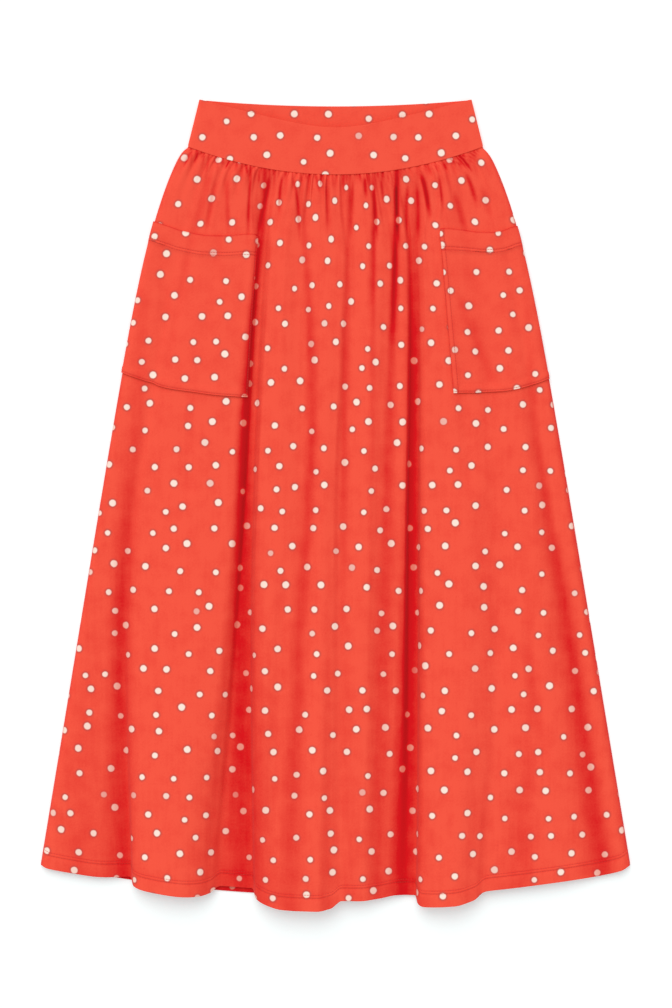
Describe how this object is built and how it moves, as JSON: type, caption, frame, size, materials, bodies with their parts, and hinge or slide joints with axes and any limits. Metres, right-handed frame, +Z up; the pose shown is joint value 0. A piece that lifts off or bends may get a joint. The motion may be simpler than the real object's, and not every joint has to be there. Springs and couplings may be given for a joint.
{
  "type": "a-line skirt",
  "caption": "A-line skirt in spotted jersey, laid flat: flared panels gathered into a shaped waistband, patch pockets on the front and a stitched hem that stands in soft flutes.",
  "frame": {"origin": "under the middle of the whole skirt's outline, on the surface that it lies on", "axes": "+X across the skirt, +Y from the hem to the waist, +Z up from the surface, out of the front"},
  "size_m": [0.712, 0.9756, 0.0273],
  "materials": {
    "skirt_jersey": "matte brushed single jersey with small cream spots",
    "waistband_jersey": "matte doubled jersey with small cream spots",
    "pocket_jersey": "matte brushed single jersey with small cream spots"
  },
  "bodies": {
    "root": {"waistband_front": "waistband_jersey", "waistband_back": "waistband_jersey", "skirt_front": "skirt_jersey", "skirt_back": "skirt_jersey", "pocket_left": "pocket_jersey", "pocket_right": "pocket_jersey"}
  },
  "joints": []
}
